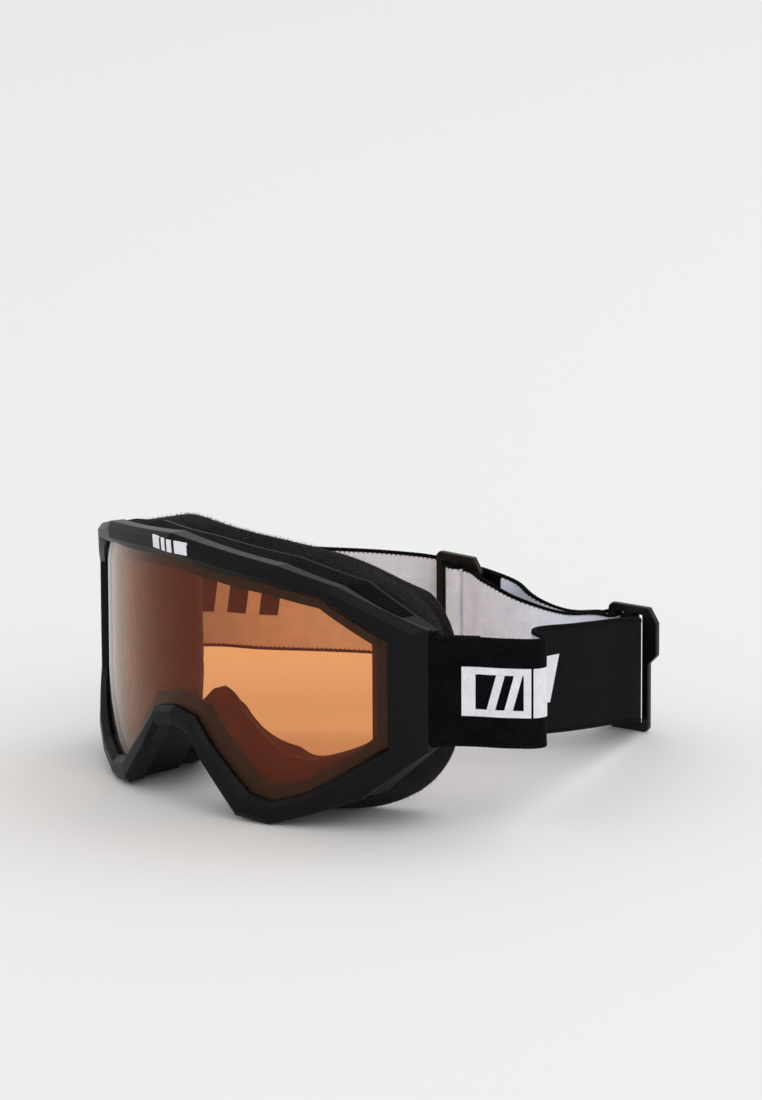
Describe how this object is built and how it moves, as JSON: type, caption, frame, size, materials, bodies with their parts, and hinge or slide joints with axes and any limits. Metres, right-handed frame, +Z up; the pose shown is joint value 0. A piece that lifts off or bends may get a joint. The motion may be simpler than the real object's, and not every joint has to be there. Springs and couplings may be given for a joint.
{
  "type": "ski goggles",
  "caption": "Ski goggles with a black faceted rim, clear amber double lens, face foam and a looped elastic strap with slide buckles.",
  "frame": {"origin": "middle of the bounding box's bottom face, on the surface the goggles stand on", "axes": "+X across the face towards the wearer's left, -Y the way the wearer looks, +Z up"},
  "size_m": [0.2042, 0.2002, 0.1012],
  "materials": {
    "rim_black": "fine matte moulded",
    "shell_black": "matte moulded",
    "lens_orange": "clear amber polycarbonate",
    "spacer_black": "closed-cell foam tape",
    "seal_black": "matte",
    "foam_black": "open-cell foam",
    "fleece_dark": "brushed fleece",
    "vent_foam": "open-cell mesh foam",
    "pin_black": "satin",
    "webbing_black": "ribbed elastic webbing, white felt inside",
    "buckle_black": "satin moulded"
  },
  "bodies": {
    "goggles": {"front_frame": "rim_black", "rear_frame": "shell_black", "outer_lens": "lens_orange", "inner_lens": "lens_orange", "lens_spacer": "spacer_black", "lens_seal": "seal_black", "foam_base": "foam_black", "foam_face": "foam_black", "face_fleece": "fleece_dark", "brow_vent_foam": "vent_foam", "left_cheek_vent_foam": "vent_foam", "right_cheek_vent_foam": "vent_foam", "left_anchor_pin": "pin_black", "right_anchor_pin": "pin_black", "right_strap": "webbing_black", "left_strap": "webbing_black"},
    "ring": {"ring_buckle": "buckle_black"},
    "adjuster": {"adjuster_buckle": "buckle_black", "adjuster_hump": "webbing_black", "return_strap": "webbing_black"}
  },
  "joints": [
    {"name": "ring_slide", "type": "slide", "parent": "goggles", "child": "ring", "axis": [-0.3, 0.9539, 0], "range_m": [-0.012, 0.005], "deforming": ["right_strap", "left_strap"]},
    {"name": "adjuster_slide", "type": "slide", "parent": "ring", "child": "adjuster", "axis": [0.9721, -0.2318, -0.0345], "range_m": [-0.028, 0.012], "deforming": ["return_strap"]}
  ],
  "couplings": [
    {"joint": "adjuster_slide", "follows": "ring_slide", "ratio": 2.3207}
  ]
}
